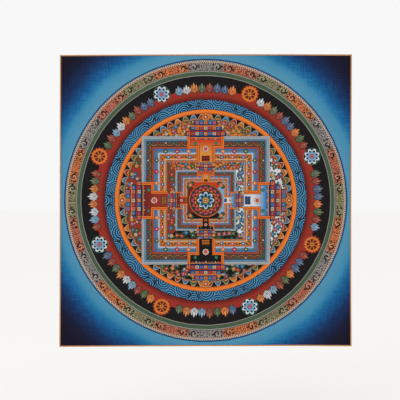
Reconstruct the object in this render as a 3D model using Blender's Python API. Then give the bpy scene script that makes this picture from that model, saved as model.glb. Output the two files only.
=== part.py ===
"""Painted cloth scroll: a square painted cotton canvas in a narrow folded gold edging, hanging flat.

Metres, +Z up. The painted side faces -Y. The origin is the middle of the top edge, where the cloth is held.
Places on the cloth are given as "across", metres in from the finished left edge, and "down", metres below the
finished top edge.
"""

from math import exp, sqrt
from typing import NamedTuple

import bmesh
import bpy
from mathutils import Vector

# Finished size over the edging
WIDTH = 0.600
HEIGHT = 0.6005

# Cloth
CANVAS_THICK = 0.0012
BINDING_THICK = 0.0005
BINDING_FACE = 0.0025  # width of the edging that shows on each side of the cloth
FOLD_ROUND = 0.0004  # how much the edging's fold is rounded
CLEARANCE = 0.0003  # between the canvas and the edging, and between two mitred ends
CANVAS_INSET = BINDING_THICK + CLEARANCE  # the raw edge lies inside the fold

# The held edge keeps the first stretch of the cloth flat, and the slow bulges grow below it
FLAT_HEAD = 0.012
FREE_BELOW = 0.150

# Rows of the sheet: one close to each edge, the rest even
CELLS = 32
FIRST_ROW = 0.006

SHARP_ANGLE = 0.6  # radians; a steeper edge is shaded as a crease

MILLIMETRE = 0.001


class Wander(NamedTuple):
    """How far an edge stands outside (+) or inside (-) its straight line, in mm, at five even places."""

    start: float
    quarter: float
    middle: float
    three_quarters: float
    end: float


# The top and bottom edges are read from left to right, the sides from top to bottom
EDGES = {
    "top": Wander(start=-1.4, quarter=-0.6, middle=0.0, three_quarters=0.2, end=-0.2),
    "bottom": Wander(start=0.8, quarter=0.6, middle=0.0, three_quarters=-0.6, end=-0.2),
    "left": Wander(start=-0.4, quarter=-0.1, middle=0.0, three_quarters=0.1, end=0.2),
    "right": Wander(start=1.1, quarter=0.4, middle=-0.1, three_quarters=-0.2, end=0.1),
}


class Bulge(NamedTuple):
    """A slow swell of the hanging cloth. Places and reaches are shares of the cloth's size."""

    across: float
    down: float
    reach_across: float
    reach_down: float
    towards_viewer_mm: float


BULGES = (
    Bulge(across=0.44, down=0.55, reach_across=0.36, reach_down=0.34, towards_viewer_mm=-2.6),
    Bulge(across=0.12, down=0.78, reach_across=0.15, reach_down=0.28, towards_viewer_mm=2.0),
    Bulge(across=0.88, down=0.58, reach_across=0.13, reach_down=0.33, towards_viewer_mm=1.6),
    Bulge(across=0.64, down=1.00, reach_across=0.11, reach_down=0.20, towards_viewer_mm=1.9),
    Bulge(across=0.00, down=1.00, reach_across=0.13, reach_down=0.12, towards_viewer_mm=3.4),
    Bulge(across=1.00, down=1.00, reach_across=0.10, reach_down=0.14, towards_viewer_mm=2.6),
)


class Paint(NamedTuple):
    colour: tuple
    roughness: float
    metallic: float


PAINTS = {
    "painted_cotton": Paint(colour=(0.045, 0.130, 0.240), roughness=0.85, metallic=0.0),
    "gold_silk": Paint(colour=(0.376, 0.181, 0.080), roughness=0.45, metallic=0.25),
}


def smooth_step(low, high, value):
    share = min(max((value - low) / (high - low), 0.0), 1.0)
    return share * share * (3.0 - 2.0 * share)


def wander(edge, share):
    """The edge's wander in metres at a share of its length, on a smooth curve through its five places."""
    places = EDGES[edge]
    spans = len(places) - 1
    first = min(int(share * spans), spans - 1)
    step = share * spans - first
    before = places[max(first - 1, 0)]
    here, ahead = places[first], places[first + 1]
    after = places[min(first + 2, spans)]
    slope_here = (ahead - before) / 2.0
    slope_ahead = (after - here) / 2.0
    value = (
        here * (2 * step**3 - 3 * step**2 + 1)
        + slope_here * (step**3 - 2 * step**2 + step)
        + ahead * (3 * step**2 - 2 * step**3)
        + slope_ahead * (step**3 - step**2)
    )
    return value * MILLIMETRE


def swell(across, down):
    """How far behind (+Y) the plane of the held edge the middle of the cloth lies."""
    u, v = across / WIDTH, down / HEIGHT
    forward = sum(
        bulge.towards_viewer_mm
        * exp(
            -(((u - bulge.across) / bulge.reach_across) ** 2)
            - ((v - bulge.down) / bulge.reach_down) ** 2
        )
        for bulge in BULGES
    )
    return -forward * MILLIMETRE * smooth_step(FLAT_HEAD, FREE_BELOW, down)


def cloth_point(across, down, behind):
    """A point of the hanging cloth, "behind" metres to the back of its middle surface."""
    u, v = across / WIDTH, down / HEIGHT
    x = -WIDTH / 2 + across - wander("left", v) * (1 - u) + wander("right", v) * u
    z = -down + wander("top", u) * (1 - v) - wander("bottom", u) * v
    return Vector((x, swell(across, down) + behind, z))


def rows(length, inset):
    """Where the rows of the sheet cross an edge of this length, from its first corner to its last."""
    step = (length - 2 * FIRST_ROW) / (CELLS - 2)
    between = [FIRST_ROW + step * row for row in range(CELLS - 1)]
    return [inset, *between, length - inset]


def binding_profile():
    """The edging's section as (inward, behind): a strip folded over the cloth's raw edge, open inwards."""
    inner = CANVAS_THICK / 2 + CLEARANCE
    outer = inner + BINDING_THICK
    back_half = [
        (0.0, outer - FOLD_ROUND * 2),
        (FOLD_ROUND, outer),
        (BINDING_FACE, outer),
        (BINDING_FACE, inner),
        (BINDING_THICK, inner),
    ]
    front_half = [(inward, -behind) for inward, behind in reversed(back_half)]
    return back_half + front_half


def on_edge(edge, along, inward, behind):
    """A point at "along" metres from the edge's first corner and "inward" metres from its finished line."""
    place = {
        "top": (along, inward),
        "bottom": (along, HEIGHT - inward),
        "left": (inward, along),
        "right": (WIDTH - inward, along),
    }[edge]
    return cloth_point(*place, behind)


def material(name):
    paint = PAINTS[name]
    made = bpy.data.materials.new(name)
    made.use_nodes = True
    shader = made.node_tree.nodes["Principled BSDF"]
    shader.inputs["Base Color"].default_value = (*paint.colour, 1.0)
    shader.inputs["Roughness"].default_value = paint.roughness
    shader.inputs["Metallic"].default_value = paint.metallic
    return made


def add_object(name, shape, paint):
    """Turns a bmesh into a named object with its faces pointing out."""
    bmesh.ops.recalc_face_normals(shape, faces=shape.faces)
    mesh = bpy.data.meshes.new(name)
    shape.to_mesh(mesh)
    shape.free()
    mesh.shade_smooth()
    mesh.set_sharp_from_angle(angle=SHARP_ANGLE)
    mesh.materials.append(paint)
    made = bpy.data.objects.new(name, mesh)
    bpy.context.scene.collection.objects.link(made)


def make_canvas(paint):
    """One sheet: a grid laid on the hanging shape, extruded to the cloth's thickness."""
    across_rows = rows(WIDTH, CANVAS_INSET)
    down_rows = rows(HEIGHT, CANVAS_INSET)
    shape = bmesh.new()
    bmesh.ops.create_grid(shape, x_segments=CELLS, y_segments=CELLS, size=1.0)
    for vert in shape.verts:
        across = across_rows[round((1 + vert.co.x) / 2 * CELLS)]
        down = down_rows[round((1 - vert.co.y) / 2 * CELLS)]
        vert.co = cloth_point(across, down, -CANVAS_THICK / 2)
    grown = bmesh.ops.extrude_face_region(shape, geom=shape.faces[:])["geom"]
    moved = [item for item in grown if isinstance(item, bmesh.types.BMVert)]
    bmesh.ops.translate(shape, verts=moved, vec=(0.0, CANVAS_THICK, 0.0))
    add_object("canvas", shape, paint)


def make_binding(edge, length, paint):
    """A folded strip along one edge: its section, extruded from row to row, with both ends mitred."""
    profile = binding_profile()
    mitre_gap = CLEARANCE / sqrt(2)
    shape = bmesh.new()
    corner = shape.verts.layers.int.new("corner")
    first_ring = [shape.verts.new() for _ in profile]
    for number, vert in enumerate(first_ring):
        vert[corner] = number
    face = shape.faces.new(first_ring)
    for row in rows(length, 0.0):
        if row > 0.0:
            grown = bmesh.ops.extrude_face_region(shape, geom=[face, *face.edges])["geom"]
            face = next(item for item in grown if isinstance(item, bmesh.types.BMFace))
        for vert in face.verts:
            inward, behind = profile[vert[corner]]
            mitre = inward + mitre_gap
            along = min(max(row, mitre), length - mitre)
            vert.co = on_edge(edge, along, inward, behind)
    add_object(f"binding_{edge}", shape, paint)


def clear_scene():
    for item in list(bpy.data.objects):
        bpy.data.objects.remove(item)


def main():
    clear_scene()
    make_canvas(material("painted_cotton"))
    gold_silk = material("gold_silk")
    for edge in ("top", "bottom"):
        make_binding(edge, WIDTH, gold_silk)
    for edge in ("left", "right"):
        make_binding(edge, HEIGHT, gold_silk)


main()
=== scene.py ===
import math
import random

import bmesh
import bpy
from mathutils import Matrix, Vector, geometry, noise


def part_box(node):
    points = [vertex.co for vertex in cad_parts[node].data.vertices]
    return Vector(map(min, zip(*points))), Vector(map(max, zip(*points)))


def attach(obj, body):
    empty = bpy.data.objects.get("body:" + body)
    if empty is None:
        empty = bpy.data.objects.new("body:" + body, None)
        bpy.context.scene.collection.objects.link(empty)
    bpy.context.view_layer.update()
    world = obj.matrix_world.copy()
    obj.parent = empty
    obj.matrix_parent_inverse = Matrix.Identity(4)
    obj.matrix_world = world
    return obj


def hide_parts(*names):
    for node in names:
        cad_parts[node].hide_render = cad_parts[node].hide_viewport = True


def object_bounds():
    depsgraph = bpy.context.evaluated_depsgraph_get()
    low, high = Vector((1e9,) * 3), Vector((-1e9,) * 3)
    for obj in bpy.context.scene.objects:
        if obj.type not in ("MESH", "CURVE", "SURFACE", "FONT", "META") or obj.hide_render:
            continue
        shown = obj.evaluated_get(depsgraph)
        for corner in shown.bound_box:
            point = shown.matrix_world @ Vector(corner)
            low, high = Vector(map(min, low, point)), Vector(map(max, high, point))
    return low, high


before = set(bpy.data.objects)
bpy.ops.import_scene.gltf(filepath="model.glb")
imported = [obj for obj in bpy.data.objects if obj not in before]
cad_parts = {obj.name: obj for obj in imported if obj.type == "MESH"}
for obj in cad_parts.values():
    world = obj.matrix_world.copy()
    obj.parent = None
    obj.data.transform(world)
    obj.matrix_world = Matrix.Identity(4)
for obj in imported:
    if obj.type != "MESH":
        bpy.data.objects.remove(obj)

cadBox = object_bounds()
middle = (cadBox[0] + cadBox[1]) / 2
fullTurn = 2 * math.pi

view = {
    "imageSize": 400,  # pixels, both ways
    "paintingWidth": 292.35,  # how many of those pixels the painting fills
    "paintingMiddle": (205.73, 200.4),  # where its middle falls in the image
    "lens": 85.0,
}

colours = {  # mineral paints and cloth, as they look, 0 to 255
    "inkBlue": (24, 38, 78), "outlineBlue": (8, 62, 108), "steelBlue": (66, 96, 138),
    "azure": (26, 114, 168), "slate": (76, 106, 126), "paleBlue": (116, 158, 188),
    "waveBlue": (32, 91, 132), "waveDark": (16, 50, 78), "waveLight": (94, 147, 178),
    "white": (200, 202, 208), "wallWhite": (162, 159, 160), "rust": (152, 68, 42),
    "cream": (186, 172, 142), "pearl": (212, 188, 164), "tan": (172, 114, 62),
    "black": (23, 20, 22), "soot": (22, 19, 21), "brown": (100, 80, 64), "darkBrown": (58, 46, 38),
    "orange": (222, 116, 42), "saffron": (206, 132, 54), "ochre": (204, 112, 44), "vermilion": (186, 54, 30),
    "brick": (150, 44, 34), "oxide": (143, 46, 35), "maroon": (102, 32, 30), "wine": (86, 27, 26),
    "pink": (184, 88, 108), "rose": (162, 50, 66), "green": (80, 98, 74), "darkGreen": (34, 58, 44),
    "leaf": (66, 92, 58), "jade": (54, 118, 98), "gold": (196, 146, 76),
    "ringOlive": (146, 140, 104), "ringOrange": (214, 120, 70),
    "ringGrey": (150, 144, 142), "ringSalmon": (196, 110, 84),
    "skyPale": (79, 139, 169), "skyBright": (62, 132, 167), "skyMid": (27, 104, 153),
    "skyDeep": (17, 76, 127), "nightBlue": (20, 44, 86), "night": (20, 23, 48), "nightEdge": (19, 17, 33),
    "cotton": (220, 207, 182), "cottonDark": (182, 163, 132), "cottonShadow": (104, 106, 112),
    "silkGold": (206, 150, 92), "silkShade": (150, 100, 56), "thread": (136, 82, 44),
    "floor": (247, 246, 244),
}


def toLinear(part):  # from a screen's values to a shader's
    part = part / 255
    return part / 12.92 if part <= 0.04045 else ((part + 0.055) / 1.055) ** 2.4


def paint(name, strength=1.0):
    return tuple(toLinear(part) * strength for part in colours[name]) + (1.0,)


def method(name):  # one of the Math node's operations, as a method of Wire
    return lambda wire, *others: wire.math(name, wire, *others)


def reflected(name):  # the same with the wire second, as in 1 - mask
    return lambda wire, other: wire.math(name, other, wire)


class Wire:  # a node's output that takes part in Python sums
    __add__, __radd__ = method("ADD"), reflected("ADD")
    __sub__, __rsub__ = method("SUBTRACT"), reflected("SUBTRACT")
    __mul__, __rmul__ = method("MULTIPLY"), reflected("MULTIPLY")
    __truediv__, __rtruediv__ = method("DIVIDE"), reflected("DIVIDE")
    __abs__ = method("ABSOLUTE")
    most, least = method("MAXIMUM"), method("MINIMUM")
    whole, part = method("FLOOR"), method("FRACT")  # part is what is left after the whole number
    sine, cosine = method("SINE"), method("COSINE")

    def __init__(self, nodes, socket):
        self.nodes = nodes
        self.socket = socket

    def math(self, operation, *values):
        return self.nodes.add("ShaderNodeMath", {"operation": operation}, dict(enumerate(values)))

    def wave(self, pitch):  # a sine that repeats after each pitch
        return (self * (fullTurn / pitch)).sine()


class Nodes:  # one material's nodes
    def __init__(self, name, roughness, specular, sheen=0.0):
        self.material = bpy.data.materials.new(name)
        self.material.use_nodes = True
        self.tree = self.material.node_tree
        self.shader = self.tree.nodes["Principled BSDF"]
        self.shader.inputs["Roughness"].default_value = roughness
        self.shader.inputs["Specular IOR Level"].default_value = specular
        self.shader.inputs["Sheen Weight"].default_value = sheen

    def add(self, kind, settings=None, values=None, output=0):
        made = self.tree.nodes.new(kind)
        for name, setting in (settings or {}).items():
            setattr(made, name, setting)
        for key, value in (values or {}).items():
            if isinstance(value, Wire):
                self.tree.links.new(value.socket, made.inputs[key])
            else:
                made.inputs[key].default_value = value
        return Wire(self, made.outputs[output])

    def vector(self, operation, *values, output="Vector"):
        return self.add("ShaderNodeVectorMath", {"operation": operation}, dict(enumerate(values)), output)

    def stretch(self, vector, amount):
        return self.add("ShaderNodeVectorMath", {"operation": "SCALE"}, {0: vector, "Scale": amount})

    def join(self, x, y):
        return self.add("ShaderNodeCombineXYZ", {}, {"X": x, "Y": y})

    def length(self, x, y):
        return self.vector("LENGTH", self.join(x, y), output="Value")

    def split(self, value, kind="ShaderNodeSeparateXYZ"):
        made = self.add(kind, {}, {0: value}).socket.node
        return [Wire(self, socket) for socket in made.outputs]

    def splitColour(self, colour):
        return self.split(colour, "ShaderNodeSeparateColor")

    def mix(self, share, under, over):  # colours go in at 6 and 7, and out at 2
        return self.add("ShaderNodeMix", {"data_type": "RGBA"}, {0: share, 6: under, 7: over}, 2)

    def ramp(self, value, stops, blending="LINEAR"):
        made = self.add("ShaderNodeValToRGB", {}, {0: value})
        ramp = made.socket.node.color_ramp
        ramp.interpolation = blending
        while len(ramp.elements) < len(stops):
            ramp.elements.new(1.0)
        for element, (place, colour) in zip(ramp.elements, stops):
            element.position = place
            element.color = colour
        return made

    def noise(self, vector, scale, detail, roughness=0.5, output=0):
        values = {"Vector": vector, "Scale": scale, "Detail": detail, "Roughness": roughness}
        return self.add("ShaderNodeTexNoise", {}, values, output)

    def drift(self, vector, scale, depth, detail):  # noise to both sides of nought
        return (self.noise(vector, scale, detail) - 0.5) * depth

    def yarn(self, vector, stretch, detail, roughness=0.5):  # noise drawn out along the threads
        return self.noise(self.vector("MULTIPLY", vector, stretch), 1.0, detail, roughness)

    def place(self):
        return self.add("ShaderNodeTexCoord", output="Object")

    def link(self, wire, socket):
        self.tree.links.new(wire.socket, self.shader.inputs[socket])

    def bump(self, height, distance, strength):
        values = {"Height": height, "Distance": distance, "Strength": strength}
        self.link(self.add("ShaderNodeBump", {}, values), "Normal")


# The painted design is drawn in millimetres from its middle. A table of layers starts at the back: a disc or
# line has a size and a paint, a flower has petals, size, depth and a paint, and "own" is the paint that its
# function picks. A fade has a limit and how softly it is passed. A drift has scale, depth and detail.
design = {
    "softEdge": 0.5,  # how far a painted edge fades
    "easeShare": 0.6,  # of that, to each side of the edge
    "handWobble": 0.8,  # how far the brush strays to each side
    "wobbleScale": 0.1, "perMetre": 1000, "spiralFoot": 0.6,
}


class Drawing(Nodes):
    # Textures read the flat place, apart from the outer ring's strokes, and everything else reads x and y.
    # More textures that read a place worked out from these would make the shader run out of room.
    def __init__(self, name, roughness, specular):
        super().__init__(name, roughness, specular)
        self.soft = design["softEdge"]
        size = design["perMetre"]
        place = {"Vector": self.place(), "Location": (-middle.x * size, -middle.z * size, 0.0)}
        turned = {"Rotation": (-math.pi / 2, 0.0, 0.0), "Scale": (size, 0, size)}
        self.flat = self.add("ShaderNodeMapping", {}, {**place, **turned})
        strays = self.splitColour(self.noise(self.flat, design["wobbleScale"], 1.0, output="Color"))
        self.x, self.y = [
            (stray - 0.5) * (design["handWobble"] * 2) + straight
            for stray, straight in zip(strays, self.split(self.flat)[:2])
        ]
        self.radius = self.length(self.x, self.y)
        self.turn = self.angle(self.y, self.x) / fullTurn + 0.5  # 0 at the left, then downwards

    def ease(self, value, limit, reach):  # from 0 to 1, over this far on both sides of the limit
        if isinstance(limit, Wire):
            value, limit = value - limit, 0.0
        settings = {"interpolation_type": "SMOOTHSTEP", "clamp": False}
        return self.add("ShaderNodeMapRange", settings, {0: value, 1: limit - reach, 2: limit + reach})

    def below(self, value, limit, soft=None):  # 1 where value is under limit
        return self.ease(value, limit, (soft or self.soft) * -design["easeShare"])

    def above(self, value, limit, soft=None):
        return self.ease(value, limit, (soft or self.soft) * design["easeShare"])

    def near(self, value, line, half, soft=None):  # 1 within this half width of line
        return self.below(abs(value - line), half, soft)

    def between(self, value, low, high, soft=None):
        return self.near(value, (low + high) / 2, (high - low) / 2, soft)

    def shade(self, name):
        return paint(name) if isinstance(name, str) else name

    def on(self, under, mask, over):
        return self.mix(mask, self.shade(under), self.shade(over))

    def cover(self, mask, over):
        self.colour = self.on(self.colour, mask, over)

    def layers(self, colour, table, reach, angle=None, within=None, own=None):
        for *shape, name in table:
            mask = self.bloom(reach, angle, *shape) if len(shape) > 1 else self.below(reach, *shape)
            colour = self.on(colour, mask * within if within else mask, own if name == "own" else name)
        return colour

    def coat(self, *shape, **limits):  # layers on the painting itself
        self.colour = self.layers(self.colour, *shape, **limits)

    def ring(self, shape, fill, within=None):  # a dark line, a paint all outside it, and thin lines
        masks = [self.above(self.radius, shape["inner"] + step) for step in (0.0, shape["outline"])]
        edge, body = [mask * within for mask in masks] if within else masks
        self.cover(edge, "soot")
        self.cover(body, fill)
        for line, half, name in shape.get("lines", ()):
            self.cover(self.near(self.radius, shape["inner"] + line, half) * body, name)
        return body

    def shades(self, share, stops, blending="LINEAR"):  # paints that follow each other
        return self.ramp(share, [(at, paint(name)) for at, name in stops], blending)

    def choose(self, share, names):
        stops = [(index / len(names), name) for index, name in enumerate(names)]
        return self.shades(share, stops, "CONSTANT")

    def pick(self, number, names):  # one of the named colours for each whole number
        return self.choose((number / len(names) + 0.5 / len(names)).part(), names)

    def quarters(self, names):  # a paint each for the left, lower, right and upper quarter
        stops = zip((0.0, 0.125, 0.375, 0.625, 0.875), (*names, names[0]))
        return self.shades(self.turn, stops, "CONSTANT")

    def repeat(self, value, pitch):  # number of the cell, and the distance from its middle
        place = value / pitch
        number = place.whole()
        return number, (place - number - 0.5) * pitch

    def cells(self, count, radius, shift=0.0):  # upright cells round a ring: number, across and outwards
        place = self.turn * count + shift
        number = place.whole()
        angle = (place - number - 0.5) * (fullTurn / count)
        return number, self.radius * angle.sine(), self.radius * angle.cosine() - radius

    def angle(self, x, y):  # from straight up
        return self.x.math("ARCTAN2", x, y)

    def polar(self, x, y):
        return self.length(x, y), self.angle(x, y)

    def disc(self, x, y, atX, atY, radius):
        return self.below(self.length(x - atX, y - atY), radius)

    def bloom(self, reach, angle, petals, size, depth):  # a flower's outline
        edge = abs((angle * (petals / 2)).cosine()) * (size * depth) + size * (1 - depth)
        return self.below(reach, edge)

    def petal(self, x, y, lean, half, height):  # pointed, on its cell's foot
        share = self.add("ShaderNodeClamp", {}, {0: y / height})
        edge = (share * math.pi).sine() * half - self.soft / 2
        return self.below(abs(x - y * lean), edge)

    def strew(self, pitch, uneven):  # spots: how far the nearest is, its place and a chance colour
        values = {"Vector": self.flat, "Scale": 1 / pitch, "Randomness": uneven}
        reach = self.add("ShaderNodeTexVoronoi", {"voronoi_dimensions": "2D"}, values)
        outputs = reach.socket.node.outputs
        return reach * pitch, Wire(self, outputs["Position"]), Wire(self, outputs["Color"])

    def block(self, x, y, atX, halfX, halfY):  # how far outside a rectangle
        return (abs(x - atX) - halfX).most(y - halfY)

    def spiral(self, x, y, size, half, start):
        reach, angle = self.polar(x, y)
        winding = ((angle + start) / fullTurn).part() * size
        return self.near(reach, winding + design["spiralFoot"], half) * self.below(reach, size)


wall = {"pitch": 3.3, "dot": (129.4, 0.9), "line": (131.0, 0.3)}


def wallBand(d):  # white, with a row of dots under a line
    _, across = d.repeat(d.side, wall["pitch"])
    colour = d.on("wallWhite", d.disc(across, d.out, 0.0, *wall["dot"]), "slate")
    return d.on(colour, d.near(d.out, *wall["line"]), "white")


lattice = {
    "pitch": 3.3, "bars": (0.1, 0.9), "garlandPitch": 16.4,
    "garland": (113.0, 0.085),  # where it hangs lowest, and how it rises from there
    "strings": ((1.2, "soot"), (0.6, "tan")), "knotsAt": 118.4,
    "knot": ((2.6, "soot"), (1.8, "own")), "paints": ("vermilion", "jade", "cream"),
}


def latticeBand(d):  # thin bars on brown, with a hanging garland
    pitch = lattice["garlandPitch"]
    colour = d.on("darkBrown", d.above(d.side.wave(lattice["pitch"]), *lattice["bars"]), "brown")
    _, across = d.repeat(d.side, pitch)
    lowest, rise = lattice["garland"]
    colour = d.layers(colour, lattice["strings"], abs(d.out - (across * across * rise + lowest)))
    knot = d.length(abs(across) - pitch / 2, d.out - lattice["knotsAt"])
    own = d.pick((d.side / pitch + 0.5).whole(), lattice["paints"])
    return d.layers(colour, lattice["knot"], knot, own=own)


def flowerRow(d, colour, row):  # flowers side by side, and the way to the place between two of them
    number, across = d.repeat(d.side, row["pitch"])
    up = d.out - row["at"]
    colour = d.layers(colour, row["flower"], *d.polar(across, up), own=d.pick(number, row["paints"]))
    return colour, abs(across) - row["pitch"] * row["aside"], up


jewels = {
    "pitch": 23.6, "at": 101.0,
    "aside": 0.36,  # of the pitch, beside a jewel
    "fade": (99.4, 8.0),
    "shades": ((0.0, "white"), (0.24, "paleBlue"), (0.78, "azure")),
    "flower": ((6, 5.4, 0.3, "soot"), (6, 4.6, 0.3, "own"), (1.3, "pearl")),
    "paints": ("vermilion", "ochre", "rose", "leaf"),
    "diamond": ((3.2, "slate"), (2.0, "darkGreen")),
    "spark": ((0.9, "saffron"),),
}


def jewelBand(d):  # white that turns blue outwards, with a row of jewels
    colour = d.shades(d.above(d.out, *jewels["fade"]), jewels["shades"])
    colour, aside, up = flowerRow(d, colour, jewels)
    colour = d.layers(colour, jewels["diamond"], abs(aside) + abs(up))
    return d.layers(colour, jewels["spark"], d.length(aside, up))


vine = {
    "pitch": 22.0, "at": 88.8, "aside": 0.36, "sway": 2.4, "stem": 0.9,
    "flower": ((5, 4.6, 0.3, "wine"), (5, 4.0, 0.3, "own"), (1.3, "pearl")),
    "paints": ("rose", "steelBlue", "pink", "azure"),
    "leaf": ((1.7, "darkGreen"),),
}


def vineBand(d):  # a green vine with pink and blue flowers on ochre
    stem = (d.side * (fullTurn / vine["pitch"])).cosine() * vine["sway"] + vine["at"]
    colour = d.on("ochre", d.near(d.out, stem, vine["stem"]), "leaf")
    colour, aside, up = flowerRow(d, colour, vine)
    return d.layers(colour, vine["leaf"], d.length(aside, up))


def floorBand(d):
    return d.quarters(palace["floor"])


palace = {
    "copyReach": 78.5,  # inside this the second, smaller palace repeats the first
    "copyRatio": 2.12, "edge": 132.3,
    "garden": ("brick", "black", "white", "ochre"),
    "floor": ("maroon", "soot", "paleBlue", "vermilion"),
    "bands": (  # from the outside in: the outer edge of each, and its paint or pattern
        (132.3, "soot"), (131.6, wallBand), (127.0, "ringGrey"), (126.4, "slate"), (125.0, "paleBlue"),
        (124.2, "slate"), (121.8, "inkBlue"), (121.0, latticeBand), (110.8, "soot"), (110.1, "rust"),
        (107.2, "brick"), (106.0, jewelBand), (95.8, "wallWhite"), (94.8, "brick"), (94.0, "orange"),
        (93.0, "maroon"), (92.2, vineBand), (84.6, "cream"), (82.6, "soot"), (82.0, "brick"), (81.2, "tan"),
        (79.6, floorBand),
    ),
}


def drawPalace(d):
    outer = abs(d.x).most(abs(d.y))
    inner = abs(d.x).least(abs(d.y))
    scale = d.below(outer, palace["copyReach"], 0.05) * (palace["copyRatio"] - 1) + 1
    d.out = outer * scale
    d.side = inner * scale
    d.trueSide = inner
    d.outside = d.above(outer, palace["edge"])
    d.colour = d.quarters(palace["garden"])
    drawFlowers(d)
    for edge, fill in palace["bands"]:
        over = fill(d) if callable(fill) else fill
        d.cover(d.below(d.out, edge), over)


flowers = {
    "pitch": 10.5, "uneven": 0.75,
    "leaves": ((4, 6.9, 0.55, "darkGreen"), (4, 5.75, 0.6, "leaf")),
    "leafTurn": 0.6,
    "flower": ((5, 4.6, 0.32, "soot"), (5, 3.9, 0.34, "own"), (1.56, "wine"), (0.92, "pearl")),
    "ownTurn": 6.0,
    "paints": ("rose", "azure", "cream", "vermilion", "leaf", "saffron", "pink", "steelBlue"),
}


def drawFlowers(d):  # strewn over the garden, each with its own turn and paint
    reach, place, chance = d.strew(flowers["pitch"], flowers["uneven"])
    atX, atY, _ = d.split(place)
    kind = d.splitColour(chance)[0]
    angle = d.angle(d.x - atX, d.y - atY) + kind * flowers["ownTurn"]
    d.coat(flowers["leaves"], reach, angle + flowers["leafTurn"])
    d.coat(flowers["flower"], reach, angle, own=d.choose(kind, flowers["paints"]))


gates = {
    "foot": 68.0, "top": 132.3, "sill": 78.8, "doorHalf": 12.6, "porchHalf": 31.0, "porchDepth": 19.0,
    "lines": (
        (7.2, "soot"), (6.6, "orange"), (4.5, "brick"), (3.3, "orange"), (1.2, "maroon"), (0.6, "soot"),
    ),
    "fade": (112.0, 26.0),
    "low": ("oxide", "black", "white", "saffron"),
    "high": ("maroon", "soot", "azure", "vermilion"),
}


def drawGates(d):
    # a doorway through the walls that widens to a porch, its outline repeated as painted lines
    top, foot, depth = gates["top"], gates["foot"], gates["porchDepth"]
    door = d.block(d.out, d.side, (foot + top) / 2, (top - foot) / 2, gates["doorHalf"])
    porch = d.block(d.out, d.side, top - depth / 2, depth / 2, gates["porchHalf"])
    shape = door.least(porch)
    walls = d.between(d.out, gates["sill"], top)
    d.coat(gates["lines"], shape, within=walls)
    inside = d.below(shape, 0.0) * walls
    fade = d.above(d.out, *gates["fade"])
    d.cover(inside, d.on(d.quarters(gates["low"]), fade, d.quarters(gates["high"])))
    drawLintel(d, inside)
    drawDoor(d, inside)


lintel = {
    "board": 129.6, "line": (128.0, 129.7), "pitch": 6.6, "beadsAt": 126.4,
    "bead": ((1.9, "soot"), (1.3, "own")), "paints": ("cream", "rose", "azure"),
}


def drawLintel(d, inside):
    number, across = d.repeat(d.side + lintel["pitch"] / 2, lintel["pitch"])
    d.cover(d.above(d.out, lintel["board"]) * inside, "inkBlue")
    d.cover(d.between(d.out, *lintel["line"]) * inside, "saffron")
    bead = d.length(across, d.out - lintel["beadsAt"])
    d.coat(lintel["bead"], bead, within=inside, own=d.pick(number, lintel["paints"]))


door = {
    "flight": (80.4, 92.0), "flightHalf": 8.4, "stepHalf": 7.6, "stepPitch": 3.4,
    "steps": (0.1, 0.5),
    "stepPaints": ("tan", "ochre", "steelBlue", "brick"),
    "lilyAt": 106.0,
    "lily": (
        (8, 7.4, 0.28, "soot"), (8, 6.6, 0.28, "pearl"), (8, 4.7, 0.28, "pink"),
        (8, 2.8, 0.28, "brick"), (2, 1.2, 0.28, "saffron"),
    ),
    "treeAt": (21.5, 117.4), "trunk": (112.8, 117.0), "trunkHalf": 0.8,
    "crown": ((6, 4.0, 0.25, "soot"), (6, 3.3, 0.25, "jade")),
}


def drawDoor(d, inside):
    # a flight of steps, a lily and two small trees
    flight = d.below(d.side, door["flightHalf"]) * d.between(d.out, *door["flight"]) * inside
    steps = d.above(d.out.wave(door["stepPitch"]), *door["steps"])
    d.cover(flight, "soot")
    d.cover(flight * steps * d.below(d.side, door["stepHalf"]), d.quarters(door["stepPaints"]))
    d.coat(door["lily"], *d.polar(d.side, d.out - door["lilyAt"]), within=inside)
    atSide, atOut = door["treeAt"]
    aside = d.side - atSide
    d.cover(d.below(abs(aside), door["trunkHalf"]) * d.between(d.out, *door["trunk"]) * inside, "brown")
    d.coat(door["crown"], *d.polar(aside, d.out - atOut), within=inside)


roof = {
    "foot": 132.0, "tier": 11.2, "tiers": 3, "halfWidth": 41.0, "stepIn": 9.0, "outline": 1.2,
    "panels": (2.2, 8.2),  # heights over the tier's foot
    "panelPitch": 8.8,
    "panelPaints": ("orange", "azure", "cream", "vermilion", "ochre", "azure", "pink"),
    "knobAt": 5.2, "knob": ((1.8, "soot"), (1.2, "own")), "post": 0.8,
    "beam": (8.8, 11.0), "beamPaints": ("oxide", "ochre", "slate"), "overhang": 3.0, "tip": (3.0, 9.2, 2.0),
    "finialAt": 171.6,  # from the painting's middle
    "finial": (
        (8, 9.0, 0.24, "soot"), (8, 8.2, 0.24, "saffron"), (8, 5.6, 0.24, "brick"), (2, 2.6, 0.24, "cream"),
    ),
}


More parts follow.
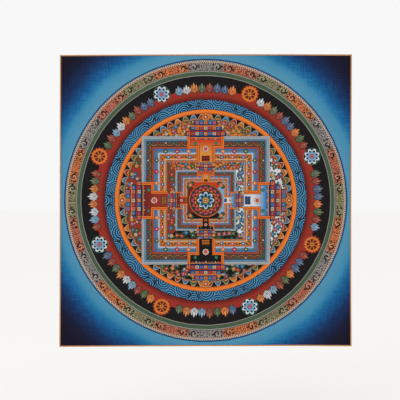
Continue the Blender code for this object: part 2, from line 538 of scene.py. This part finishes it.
def drawRoofs(d):
    # tiers that step in towards the top: a blue sill, a row of small panels, then a beam with turned ends
    place = (d.out - roof["foot"]) / roof["tier"]
    tier = place.whole()
    high = (place - tier) * roof["tier"]
    inTiers = d.between(place, 0.0, roof["tiers"], 0.05)
    half = roof["halfWidth"] - tier * roof["stepIn"]
    d.cover(d.below(d.side, half + roof["outline"]) * inTiers, "soot")
    body = d.below(d.side, half) * inTiers
    d.cover(body, "inkBlue")
    number, across = d.repeat(d.trueSide + roof["panelPitch"] / 2, roof["panelPitch"])
    number = number + tier * 2
    panel = body * d.between(high, *roof["panels"])
    d.cover(panel, d.pick(number, roof["panelPaints"]))
    knob = d.length(across, high - roof["knobAt"])
    d.coat(roof["knob"], knob, within=panel, own=d.pick(number + 2, roof["panelPaints"]))
    d.cover(panel * d.above(abs(across), roof["panelPitch"] / 2 - roof["post"]), "soot")
    beam = d.between(high, *roof["beam"]) * inTiers
    d.cover(beam * d.below(d.side, half + roof["overhang"]), d.pick(tier, roof["beamPaints"]))
    d.cover(d.disc(d.side - half, high, *roof["tip"]) * inTiers, "cream")


def drawFinials(d):  # a jewel on the top of each roof
    d.coat(roof["finial"], *d.polar(d.trueSide, d.out - roof["finialAt"]), within=d.outside)


heart = {
    "rows": (  # how far each is turned, and its layers
        (0.0, (
            (35.0, "soot"), (34.3, "ochre"), (33.2, "brick"), (32.2, "darkGreen"),
            (16, 31.4, 0.22, "soot"), (16, 30.6, 0.22, "rose"), (16, 28.0, 0.24, "pink"),
            (16, 26.0, 0.25, "wine"),
        )),
        (math.pi / 16, ((16, 24.4, 0.2, "soot"), (16, 23.6, 0.2, "ochre"), (16, 21.2, 0.22, "brick"))),
        (0.0, (
            (19.4, "darkGreen"), (8, 18.6, 0.36, "soot"), (8, 17.8, 0.36, "white"),
            (8, 15.4, 0.4, "azure"), (8, 12.4, 0.42, "inkBlue"),
        )),
        (math.pi / 8, ((8, 10.4, 0.4, "jade"), (6.8, "soot"))),
    ),
    "gilt": 6.0, "eye": ((3.6, "brick"), (1.5, "white")), "cornerAt": 31.6,
    "cornerLeaves": ((2, 9.4, 0.95, "soot"), (2, 8.6, 0.95, "darkGreen"), (2, 6.8, 0.95, "leaf")),
    "cornerFlower": (
        (6, 4.6, 0.26, "soot"), (6, 4.0, 0.26, "saffron"), (6, 2.6, 0.26, "rose"), (2, 1.2, 0.26, "pearl"),
    ),
}


def drawHeart(d):
    # a round lotus on the inmost floor, with a small flower and two leaves in each of its corners
    reach, angle = d.polar(abs(d.x) - heart["cornerAt"], abs(d.y) - heart["cornerAt"])
    d.coat(heart["cornerLeaves"], reach, angle + math.pi / 4)
    d.coat(heart["cornerFlower"], reach, angle)
    angle = d.turn * fullTurn
    for turned, table in heart["rows"]:
        d.coat(table, d.radius, angle + turned)
    d.gilding = d.below(d.radius, heart["gilt"])
    d.cover(d.gilding, "gold")
    d.coat(heart["eye"], d.radius)


lotus = {
    "inner": 165.5, "outer": 178.4, "outline": 0.8, "petals": 64,
    "paints": ("brick", "azure", "leaf", "ochre"),
    "arches": (  # each one's height, how far it is sunk, and its paint
        (12.6, 0.0, "cream"), (12.4, 1.3, "own"), (10.0, 3.0, "soot"), (9.4, 3.4, "tan"),
        (6.0, 3.4, "maroon"),
    ),
}


def drawLotusRing(d):
    inner = lotus["inner"]
    number, across, up = d.cells(lotus["petals"], inner)
    half = math.pi * (inner + lotus["outer"]) / lotus["petals"] / 2
    arch = 1 - across * across * (1 / half ** 2)
    body = d.ring(lotus, "soot", d.outside)
    own = d.pick(number, lotus["paints"])
    for height, sunk, name in lotus["arches"]:
        d.cover(body * d.below(up, arch * height - sunk), own if name == "own" else name)


orangeRing = {"inner": 177.6, "outline": 1.0, "lines": ((2.4, 0.4, "brick"),)}


def drawOrangeRing(d):
    d.ring(orangeRing, "orange", d.outside)


waves = {
    "inner": 186.9, "outer": 208.5, "outline": 0.9, "count": 26, "swell": 19.5,
    "sway": (0.035, 5.0, 1.0),
    "ripple": 4.3, "dark": (-0.2, 0.6), "light": (0.6, 0.5), "crest": 0.9,
    "crestFrom": -4.0, "curlAt": (12.4, 10.5),
    "curl": (6.4, 1.0, 1.0),  # size, half width and start
}


def drawWaveRing(d):
    # swells that rise from the inner edge, in front of others that hang from the outer edge
    sway = d.drift(d.flat, *waves["sway"])
    number, across, up = d.cells(waves["count"], waves["inner"])
    front = d.length(across, up) + sway
    back = d.length(*d.cells(waves["count"], waves["outer"], 0.5)[1:]) + sway
    inFront = d.below(front, waves["swell"], 0.1)
    ripple = (back + (front - back) * inFront).wave(waves["ripple"])
    inside = d.ring(waves, "waveBlue")
    d.cover(inside * d.below(ripple, *waves["dark"]), "waveDark")
    d.cover(inside * d.above(ripple, *waves["light"]), "waveLight")
    side = across * alternate(number)
    crest = d.near(front, waves["swell"], waves["crest"]) * d.above(side, waves["crestFrom"])
    atSide, atUp = waves["curlAt"]
    curl = d.spiral(side - atSide, up - atUp, *waves["curl"])
    d.cover(inside * crest.most(curl), "soot")


def alternate(number):  # 1 for odd numbers and -1 for even ones
    return (number * 0.5).part() * 4 - 1


redRing = {
    "inner": 207.0, "outer": 229.5, "outline": 0.8, "fade": (218.0, 22.0),
    "shades": ((0.0, "wine"), (0.5, "oxide"), (1.0, "brick")),
}


def drawRedRing(d):  # and the black one round it
    d.ring(redRing, d.shades(d.above(d.radius, *redRing["fade"]), redRing["shades"]))
    d.cover(d.above(d.radius, redRing["outer"]), "black")


buds = {
    "count": 92, "foot": 221.0,
    "wheelGap": 21.0,  # no bud stands closer to the middle of a wheel
    "uneven": (2.4, 0.07),  # how fast and how much their heights change
    "paints": (
        "ochre", "steelBlue", "leaf", "white", "brick", "orange", "paleBlue", "green", "steelBlue", "brick",
    ),
    "paintStep": 3,
    "petals": (  # lean, half width, height and paleness
        (0.66, 3.3, 12.4, 0.0), (0.3, 3.2, 17.6, 0.1), (0.0, 2.9, 22.0, 0.22),
    ),
    "outline": (0.4, 0.9, 1.0),  # under, beside and over a petal
    "vein": (4.0, 1.1, 8.0),  # foot, half width and height
    "sepal": (3.6, 1.4, 1.5),
}


def drawBuds(d):
    # a row of water-lily buds, side by side, from the red into the black
    number, across, up = d.cells(buds["count"], buds["foot"])
    side = abs(across)
    fromWheel = abs(((number + 0.5) * (wheels["count"] / buds["count"])).part() - 0.5) / wheels["count"]
    clear = d.above(fromWheel * (fullTurn * wheels["radius"]), buds["wheelGap"])
    change, amount = buds["uneven"]
    tall = up * ((number * change).sine() * amount + 1.0)
    shade = d.pick(number * buds["paintStep"], buds["paints"])
    under, beside, over = buds["outline"]
    for lean, half, height, pale in buds["petals"]:
        d.cover(d.petal(side, tall + under, lean, half + beside, height + over) * clear, "soot")
        tint = d.on(shade, pale, "cream") if pale else shade
        d.cover(d.petal(side, tall, lean, half, height) * clear, tint)
    foot, half, height = buds["vein"]
    d.cover(d.petal(side, tall - foot, 0.0, half, height) * clear, "soot")
    d.cover(d.disc(side, up, *buds["sepal"]) * clear, "darkGreen")


wheels = {
    "count": 8, "radius": 236.4,
    "disc": ((16, 19.0, 0.16, "oxide"), (15.2, "wine")),
    "rim": (12.8, 1.5), "spokes": 8, "spoke": (3.2, 1.2), "spokeEnd": 12.4,
    "knobs": (16, 16.6, 0.16), "knobFoot": 14.0,
    "hub": ((4.6, "soot"), (3.8, "saffron"), (1.8, "brick")),
    "lily": ((17.4, "jade"), (16.4, "soot"), (8, 16.2, 0.30, "white"), (8, 12.8, 0.36, "soot")),
    "lilyHeart": ((8, 11.4, 0.36, "paleBlue"), (5.2, "soot"), (4.4, "pink"), (2.0, "jade")),
}


def drawWheels(d):
    # white lily roundels and red spoked wheels by turns, between the main directions
    number, across, up = d.cells(wheels["count"], wheels["radius"])
    reach, angle = d.polar(across, up)
    odd = (number * 0.5).part() * 2
    even = 1 - odd
    d.coat(wheels["disc"], reach, angle, within=odd)
    spokes = d.below(abs((angle * (wheels["spokes"] / 2)).sine()) * reach, *wheels["spoke"])
    spokes = spokes * d.below(reach, wheels["spokeEnd"])
    knobs = d.bloom(reach, angle, *wheels["knobs"]) * d.above(reach, wheels["knobFoot"])
    d.cover(d.near(reach, *wheels["rim"]).most(spokes).most(knobs) * odd, "ochre")
    d.coat(wheels["hub"], reach, within=odd)
    d.coat(wheels["lily"], reach, angle, within=even)
    d.coat(wheels["lilyHeart"], reach, angle + math.pi / 8, within=even)


greenBand = {
    "inner": 255.4, "outline": 0.5,
    "lines": (  # from its inner edge: place, half width and paint
        (3.3, 0.4, "darkGreen"), (5.6, 0.4, "darkGreen"), (7.9, 0.4, "darkGreen"),
        (1.2, 0.5, "ringGrey"), (10.1, 0.7, "ringGrey"),
    ),
}


def drawGreenBand(d):
    d.ring(greenBand, "green")


pastel = {
    "inner": 266.8, "outline": 0.6, "sections": 24,
    "paints": ("ringOlive", "ringSalmon", "ringGrey", "ringOrange"),
    "even": 0.105,  # how far each colour stays even beside its middle, of four sections
    "strokes": 950, "stroke": (0.51, 0.16), "strokeDepth": 0.72,
    "specks": (4.6, 0.9),  # pitch and unevenness
    "speck": 1.05, "speckFrom": 1.5,
    "sprigs": 72,  # three to a section, of which the middle one is left out
    "bare": 0.17,  # half the share of a section that holds no sprig
    "sprigRadius": 275.2,
    "curls": (  # place across and upwards, size, half width, start and paint
        (0.0, 0.0, 7.0, 1.4, 0.0, "soot"), (-0.5, 0.6, 5.6, 0.4, math.pi, "cream"),
    ),
    "berries": ((8.4, 4.0, 1.9), (8.8, -3.4, 1.7), (-8.8, 1.4, 1.9), (11.6, 0.8, 1.3)),
}


def drawPastelRing(d):
    # sections of four colours in turn, streaked, with a pair of sprigs where two colours meet
    inner, names, even = pastel["inner"], pastel["paints"], pastel["even"]
    middles = enumerate((*names, names[0]))
    stops = [(index / 4 + step, name) for index, name in middles for step in (-even, even)][1:-1]
    body = d.ring(pastel, d.shades((d.turn * (pastel["sections"] / 4)).part(), stops, "EASE"))
    values = {"W": d.turn * pastel["strokes"], "Scale": 1.0, "Detail": 2.0}
    strokes = d.add("ShaderNodeTexNoise", {"noise_dimensions": "1D"}, values)
    d.cover(d.above(strokes, *pastel["stroke"]) * body * pastel["strokeDepth"], "darkBrown")
    specks = d.below(d.strew(*pastel["specks"])[0], pastel["speck"])
    d.cover(specks * d.above(d.radius, inner + pastel["speckFrom"]), "black")
    fromBorder = abs((d.turn * pastel["sections"]).part() - 0.5)
    marked = d.below(fromBorder, 0.5 - pastel["bare"], 0.04)
    number, across, up = d.cells(pastel["sprigs"], pastel["sprigRadius"], 0.5)
    up = up * alternate(number)
    for atX, atY, size, half, start, name in pastel["curls"]:
        d.cover(d.spiral(across - atX, up - atY, size, half, start) * marked, name)
    for berry in pastel["berries"]:
        d.cover(d.disc(across, up, *berry) * marked, "soot")


fringe = {
    "wash": (283.0, 4.0), "washDepth": 0.72, "points": 396,
    "rows": ((0.0, 283.2, 1.2), (0.5, 286.3, 1.1)),  # shift along the ring, radius and size
}


def drawFringe(d):
    # the ring's outer edge is washed pale, under two rows of dots
    d.cover(d.above(d.radius, *fringe["wash"]) * fringe["washDepth"], "pearl")
    for shift, radius, size in fringe["rows"]:
        _, across, up = d.cells(fringe["points"], radius, shift)
        d.cover(d.disc(across, up, 0.0, 0.0, size), "soot")


ground = {
    "shades": (  # distance from the middle and paint, from the ring outwards
        (297.0, "skyPale"), (313.0, "skyBright"), (326.0, "skyMid"), (340.0, "skyDeep"),
        (358.0, "nightBlue"), (381.0, "night"), (403.0, "nightEdge"),
    ),
    "outline": (287.9, 291.1),
    "drift": (0.008, 16.0, 1.0),
    "dabs": (0.12, 10.0, 2.0),
    "threads": 28.0,  # depth
    "threadScale": (0.42, 0.035),  # across a thread and along it
    "fade": (318.0, 20.0),
    "lean": 0.018,  # the blue darkens sooner towards the lower left
}


def drawGround(d):
    # blue that darkens towards the corners, uneven, with the cloth's threads showing through
    shades = ground["shades"]
    first, last = shades[0][0], shades[-1][0]
    drift = d.drift(d.flat, *ground["drift"])
    dabs = d.drift(d.flat, *ground["dabs"])
    across, along = ground["threadScale"]
    warp = d.yarn(d.flat, (across, along, 1.0), 3.0, 0.6)
    weft = d.yarn(d.flat, (along, across, 1.0), 3.0, 0.6)
    threads = (warp + weft - 1.0) * ground["threads"]
    fade = d.above(d.radius, *ground["fade"])
    reach = d.radius + drift + (dabs + threads) * fade - (d.x + d.y).least(0.0) * ground["lean"]
    stops = [((at - first) / (last - first), name) for at, name in shades]
    inner, outer = ground["outline"]
    d.cover(d.above(d.radius, inner), "outlineBlue")
    d.cover(d.above(d.radius, outer, 1.2), d.shades((reach - first) / (last - first), stops))


finish = {
    "patches": (0.03, 0.12, 3.0),
    "grain": (0.9, 0.18, 3.0), "gesso": 0.16, "roughness": 0.82, "gessoRoughness": 0.25,
    "giltRoughness": -0.4, "giltMetal": 0.7,
    "threadPitch": 1.4,  # two threads
    "weaveDepth": 0.1, "bump": 0.0004,
}


def paintMaterial():
    d = Drawing("mineralPaint", roughness=finish["roughness"], specular=0.12)
    for draw in (drawPalace, drawGates, drawRoofs, drawHeart, drawLotusRing, drawOrangeRing, drawFinials,
                 drawWaveRing, drawRedRing, drawBuds, drawWheels, drawGreenBand, drawPastelRing, drawFringe,
                 drawGround):
        draw(d)
    patches = d.drift(d.flat, *finish["patches"])
    grain = d.drift(d.flat, *finish["grain"])
    d.link(d.stretch(d.colour, patches + grain + 1.0), "Base Color")
    strokes = d.noise(d.flat, finish["gesso"], 6.0, 0.65)
    rough = (strokes - 0.5) * finish["gessoRoughness"] + finish["roughness"]
    d.link(rough + d.gilding * finish["giltRoughness"], "Roughness")
    d.link(d.gilding * finish["giltMetal"], "Metallic")
    weave = d.x.wave(finish["threadPitch"]) * d.y.wave(finish["threadPitch"])
    d.bump(strokes + grain * 0.5 + weave * finish["weaveDepth"], finish["bump"], 0.5)
    return d.material


silk = {
    "rib": 0.0005, "ribDepth": 0.2, "wearScale": 60.0,
    "slubScale": (400, 3000),  # along and across the ribbon
    "roughness": (0.36, 0.25),  # the least, and what wear adds
    "bump": 0.00008,
}


def silkMaterial():
    nodes = Nodes("foldedSilk", roughness=0.45, specular=0.4, sheen=0.25)
    place = nodes.place()
    wear = nodes.noise(place, silk["wearScale"], 3.0)
    colour = nodes.mix(wear, paint("silkShade", 1.4), paint("silkGold", 1.15))
    x, y, z = nodes.split(place)
    aside = abs(x)
    upright = aside.math("GREATER_THAN", aside, abs(z - middle.z))
    along = x + (z - x) * upright
    rib = along.wave(silk["rib"]) * 0.5 + 0.5
    alongScale, acrossScale = silk["slubScale"]
    slub = nodes.noise(nodes.join(along * alongScale, y * acrossScale), 1.0, 2.0)
    nodes.link(nodes.mix((rib + slub) * silk["ribDepth"], colour, paint("silkShade")), "Base Color")
    least, worn = silk["roughness"]
    nodes.link(wear * worn + least, "Roughness")
    nodes.bump(rib + slub, silk["bump"], 0.6)
    return nodes.material


thread = {"twist": 900.0, "strengths": (0.5, 1.5), "bump": 0.0002}


def threadMaterial():
    nodes = Nodes("silkThread", roughness=0.5, specular=0.35)
    twist = nodes.noise(nodes.place(), thread["twist"], 2.0)
    dark, light = [paint("thread", strength) for strength in thread["strengths"]]
    nodes.link(nodes.mix(twist, dark, light), "Base Color")
    nodes.bump(twist, thread["bump"], 0.6)
    return nodes.material


cotton = {
    "threadPitch": 0.0014,  # two threads
    "yarn": (700.0, 700.0, 14.0),  # its slubs, across, through and along the warp
    "stain": 5.0,
    "stains": ((0.28, "cottonDark", 1.0), (0.5, "cotton", 1.0), (0.75, "cotton", 1.06)),
    "evenness": 0.45,
    "ghost": (  # how much of the painting shows through, by the distance from its middle
        (0.0, 0.35), (0.131, 0.30), (0.178, 0.10), (0.187, 0.55), (0.207, 0.30), (0.229, 0.95),
        (0.255, 0.35), (0.289, 0.15), (0.330, 0.45), (0.400, 0.85),
    ),
    "ghostReach": 0.4, "ghostDepth": 0.26,
    "ghostDrift": (40.0, 0.02, 3.0),
    "weaveDepth": 0.16, "roughness": (0.82, 0.15), "bump": 0.0003,
}


def cottonMaterial():
    nodes = Nodes("sizedCotton", roughness=0.92, specular=0.15)
    place = nodes.place()
    x, _, z = nodes.split(place)
    weave = x.wave(cotton["threadPitch"]) * z.wave(cotton["threadPitch"]) * 0.5 + 0.5
    warp = nodes.yarn(place, cotton["yarn"], 2.0)
    weft = nodes.yarn(place, cotton["yarn"][::-1], 2.0)
    yarns = warp * 0.5 + weft * 0.5
    stain = nodes.noise(place, cotton["stain"], 4.0, 0.55)
    stained = nodes.ramp(stain, [(at, paint(name, strength)) for at, name, strength in cotton["stains"]])
    colour = nodes.mix(cotton["evenness"], stained, paint("cotton"))
    reach = nodes.length(x - middle.x, z - middle.z) + nodes.drift(place, *cotton["ghostDrift"])
    tones = [(at / cotton["ghostReach"], (tone, tone, tone, 1.0)) for at, tone in cotton["ghost"]]
    ghost = nodes.split(nodes.ramp(reach / cotton["ghostReach"], tones))[0]
    colour = nodes.mix(ghost * cotton["ghostDepth"], colour, paint("cottonShadow"))
    colour = nodes.mix(weave * cotton["weaveDepth"], colour, paint("cottonDark"))
    nodes.link(nodes.stretch(colour, yarns * 0.4 + 0.8), "Base Color")
    least, added = cotton["roughness"]
    nodes.link(stain * added + least, "Roughness")
    nodes.bump(weave + yarns, cotton["bump"], 0.6)
    return nodes.material


cloth = {
    "weld": 0.00002,
    "frontFacing": -0.7,  # faces whose normal points less far forward aren't the front
    "diagonal": 0.004,  # a cell's cut runs this far both ways
    "levels": 2, "cockle": 0.00022, "cockleSize": 0.045,
    "paintGap": 0.00005,  # the paint film stands this far off the cloth
    "frontShift": 0.0001,  # how far the cloth's front lies behind the solid's
    "thickness": 0.001,
    "solidThickness": 0.0012,  # of the sheet in the frame
    "edgeBand": 0.0035,  # how deep the outermost row of the sheet may lie
    "flat": (0.5984, 0.599),  # as cut, in metres
}


def clothSkin():
    # the painted side of the hanging sheet, as square cells
    skin = bmesh.new()
    skin.from_mesh(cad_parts["canvas"].data)
    bmesh.ops.remove_doubles(skin, verts=skin.verts, dist=cloth["weld"])
    skin.normal_update()
    others = [face for face in skin.faces if face.normal.y > cloth["frontFacing"]]
    bmesh.ops.delete(skin, geom=others, context="FACES")
    runs = [(edge, edge.verts[0].co - edge.verts[1].co) for edge in skin.edges]
    cuts = [edge for edge, run in runs if min(abs(run.x), abs(run.z)) > cloth["diagonal"]]
    bmesh.ops.dissolve_edges(skin, edges=cuts, use_verts=False, use_face_split=False)
    return skin


def addObject(name, data):
    made = bpy.data.objects.new(name, data)
    bpy.context.scene.collection.objects.link(made)
    return made


def addPiece(name, shape, material):
    mesh = bpy.data.meshes.new(name)
    shape.to_mesh(mesh)
    shape.free()
    mesh.shade_smooth()
    mesh.materials.append(material)
    return addObject(name, mesh)


def modify(piece, kind, **settings):
    modifier = piece.modifiers.new(kind.title(), kind)
    for key, value in settings.items():
        setattr(modifier, key, value)


def addCloth(name, material, shift):
    # the sheet, rounded, with the slight unevenness that drying paint leaves
    piece = addPiece(name, clothSkin(), material)
    levels = cloth["levels"]
    modify(piece, "SUBSURF", levels=levels, render_levels=levels, boundary_smooth="PRESERVE_CORNERS")
    graph = bpy.context.evaluated_depsgraph_get()
    mesh = bpy.data.meshes.new_from_object(piece.evaluated_get(graph))
    piece.modifiers.clear()
    piece.data = mesh
    for vertex in mesh.vertices:
        place = Vector((vertex.co.x, 0.0, vertex.co.z)) / cloth["cockleSize"]
        vertex.co.y += noise.noise(place) * cloth["cockle"] + shift
    return piece


def makePaint(material):
    piece = addCloth("paintedFront", material, cloth["frontShift"] - cloth["paintGap"])
    low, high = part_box("canvas")
    size = high - low
    layer = piece.data.uv_layers.new(name="OFBake")
    for loop in piece.data.loops:
        place = piece.data.vertices[loop.vertex_index].co - low
        layer.data[loop.index].uv = (place.x / size.x, place.z / size.z)
    return piece


def makeCotton(material):
    piece = addCloth("cottonCanvas", material, cloth["frontShift"])
    modify(piece, "SOLIDIFY", thickness=cloth["thickness"], offset=-1.0)
    return piece


edging = {
    "foldRadius": 0.00115,  # to the middle of the ribbon's thickness
    "thickness": 0.00045,
    "face": 0.0025,  # how far it lies over the cloth
    "foldSteps": 8, "legSteps": 2, "step": 0.0025, "pucker": 0.00006, "puckerSize": 0.005,
    "mitreGap": 0.0003,
}

sides = {  # the way into the cloth, and the way along from the side's first corner
    "Top": (Vector((0, 0, -1)), Vector((1, 0, 0))),
    "Bottom": (Vector((0, 0, 1)), Vector((1, 0, 0))),
    "Left": (Vector((1, 0, 0)), Vector((0, 0, -1))),
    "Right": (Vector((-1, 0, 0)), Vector((0, 0, -1))),
}


def rimOf(side):  # points along the cloth's raw edge, in the middle of its thickness
    inward, along = sides[side]
    skin = clothSkin()
    rim = [vert.co.copy() for vert in skin.verts if vert.is_boundary]
    skin.free()
    nearest = min(point.dot(inward) for point in rim)
    line = [point for point in rim if point.dot(inward) < nearest + cloth["edgeBand"]]
    line.sort(key=lambda point: point.dot(along))
    return [point + Vector((0, cloth["solidThickness"] / 2, 0)) for point in line]


def finishedLine(side):  # the folded edge, with an even step, from corner to corner
    inward, along = sides[side]
    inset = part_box("canvas")[0].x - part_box("binding_left")[0].x
    line = [point - inward * inset for point in rimOf(side)]
    line[0] -= along * inset
    line[-1] += along * inset
    smooth = [line[0]]
    for index in range(len(line) - 1):
        start, end = line[index], line[index + 1]
        before, after = line[max(index - 1, 0)], line[min(index + 2, len(line) - 1)]
        count = max(round((end - start).length / edging["step"]), 1)
        leaving, arriving = start + (end - before) / 6, end - (after - start) / 6
        smooth += geometry.interpolate_bezier(start, leaving, arriving, end, count + 1)[1:]
    return smooth


def makeEdging(side, material):
    # a ribbon folded over the raw edge: a leg, a half turn and a leg, drawn along the side
    inward, along = sides[side]
    line = finishedLine(side)
    ribbon = bmesh.new()
    fold = line[0] + inward * (edging["foldRadius"] + edging["thickness"] / 2)
    front = ribbon.verts.new(fold - Vector((0, edging["foldRadius"], 0)))
    axis = Vector((0, 1, 0)).cross(inward)
    bmesh.ops.spin(ribbon, geom=[front], cent=fold, axis=axis, angle=math.pi, steps=edging["foldSteps"])
    leg = (edging["face"] - edging["foldRadius"]) / edging["legSteps"]
    for end in [vert for vert in ribbon.verts if len(vert.link_edges) == 1]:
        for _ in range(edging["legSteps"]):
            end = bmesh.ops.extrude_vert_indiv(ribbon, verts=[end])["verts"][0]
            end.co += inward * leg
    edges = ribbon.edges[:]
    for start, end in zip(line, line[1:]):
        grown = bmesh.ops.extrude_edge_only(ribbon, edges=edges)["geom"]
        moved = {item for item in grown if isinstance(item, bmesh.types.BMVert)}
        added = [item for item in grown if isinstance(item, bmesh.types.BMEdge)]
        edges = [edge for edge in added if moved.issuperset(edge.verts)]
        bmesh.ops.translate(ribbon, verts=list(moved), vec=end - start)
    for corner, towards in ((line[0], along), (line[-1], -along)):
        across = (towards - inward).normalized()
        cut = corner + across * (edging["mitreGap"] / 2)
        everything = ribbon.verts[:] + ribbon.edges[:] + ribbon.faces[:]
        bmesh.ops.bisect_plane(ribbon, geom=everything, plane_co=cut, plane_no=across, clear_inner=True)
    for vert in ribbon.verts:
        vert.co.y += noise.noise(vert.co / edging["puckerSize"]) * edging["pucker"]
    piece = addPiece("edging" + side, ribbon, material)
    modify(piece, "SOLIDIFY", thickness=edging["thickness"], offset=0.0, use_even_offset=True)
    return piece


stitches = {
    "inward": 0.00195, "pitch": 0.0062,
    "half": (0.0014, 0.00024, 0.00022),  # along the side, across it and out of the ribbon
    "facets": (8, 4), "stray": 0.0003, "tilt": 0.07, "sunk": 0.00004, "seed": 11,
}


def makeStitches(material):
    # one row of running stitches on each face of the edging
    around, over = stitches["facets"]
    length, width, rise = stitches["half"]
    knot = bmesh.new()
    bmesh.ops.create_uvsphere(knot, u_segments=around, v_segments=over, radius=1.0)
    stitch = bpy.data.meshes.new("stitch")
    knot.to_mesh(stitch)
    knot.free()
    row = bmesh.new()
    chance = random.Random(stitches["seed"])
    out = edging["foldRadius"] + edging["thickness"] / 2 - stitches["sunk"]
    for side, (inward, along) in sides.items():
        line = finishedLine(side)
        turn = Matrix.Rotation(math.atan2(-along.z, along.x), 4, "Y")
        distance = 0.0
        for before, point in zip(line[1:-3], line[2:-2]):
            distance += (point - before).length
            if distance < stitches["pitch"]:
                continue
            distance -= stitches["pitch"]
            for face in (-1, 1):
                stray = along * chance.uniform(-1, 1) * stitches["stray"]
                place = point + inward * stitches["inward"] + stray + Vector((0, face * out, 0))
                tilt = Matrix.Rotation(chance.uniform(-1, 1) * stitches["tilt"], 4, "Y")
                shape = Matrix.Translation(place) @ tilt @ turn @ Matrix.Diagonal((length, rise, width, 1.0))
                stitch.transform(shape)
                row.from_mesh(stitch)
                stitch.transform(shape.inverted())
    return addPiece("edgingStitches", row, material)


studio = {
    "floorBelow": 0.18,  # under the painting's lower edge
    "floorRadius": 40.0, "floorSides": 96,
    "dust": (3.0, 0.3),  # scale and depth
    "skyLight": 0.94, "keyPlace": (-1.9, -2.6, 1.1), "keySize": 2.6, "keyPower": 17.0,
}


def makeFloor():
    nodes = Nodes("studioFloor", roughness=0.9, specular=0.2)
    scale, depth = studio["dust"]
    dust = nodes.noise(nodes.place(), scale, 3.0)
    nodes.link(nodes.mix(dust * depth, paint("floor", 1.06), paint("floor")), "Base Color")
    disc = bmesh.new()
    bmesh.ops.create_circle(disc, cap_ends=True, segments=studio["floorSides"], radius=studio["floorRadius"])
    drop = cadBox[0].z - studio["floorBelow"]
    bmesh.ops.translate(disc, verts=disc.verts, vec=(0, 0, drop))
    addPiece("studioFloor", disc, nodes.material)


def makeLight():
    world = bpy.context.scene.world or bpy.data.worlds.new("softSky")
    bpy.context.scene.world = world
    world.use_nodes = True
    sky = world.node_tree.nodes["Background"]
    sky.inputs["Color"].default_value = (1.0, 1.0, 1.0, 1.0)
    sky.inputs["Strength"].default_value = studio["skyLight"]
    light = bpy.data.lights.new("softBox", "AREA")
    light.energy = studio["keyPower"]
    light.size = studio["keySize"]
    lamp = addObject("softBox", light)
    lamp.location = studio["keyPlace"]
    lamp.rotation_euler = (middle - lamp.location).to_track_quat("-Z", "Y").to_euler()


def makeCamera():
    camera = bpy.data.cameras.new("frontCamera")
    camera.lens = view["lens"]
    eye = addObject("frontCamera", camera)
    pixel = (cadBox[1].x - cadBox[0].x) / view["paintingWidth"]  # in metres
    right, down = [(place - view["imageSize"] / 2) * pixel for place in view["paintingMiddle"]]
    away = pixel * view["imageSize"] * camera.lens / camera.sensor_width
    eye.location = (middle.x - right, -away, middle.z + down)
    eye.rotation_euler = (math.pi / 2, 0, 0)
    bpy.context.scene.camera = eye
    bpy.context.scene.view_settings.view_transform = "Standard"


print("camera and studio")
makeCamera()
makeFloor()
makeLight()

print("painted canvas")
paintedFront = makePaint(paintMaterial())
cottonCanvas = makeCotton(cottonMaterial())

print("edging")
foldedSilk = silkMaterial()
ribbons = [makeEdging(side, foldedSilk) for side in sides]
threads = makeStitches(threadMaterial())

print("hiding the frame's parts and riding")
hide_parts("canvas")
for ribbon in ribbons:
    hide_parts("binding_" + ribbon.name.removeprefix("edging").lower())
for piece in (paintedFront, cottonCanvas, *ribbons, threads):
    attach(piece, "root")
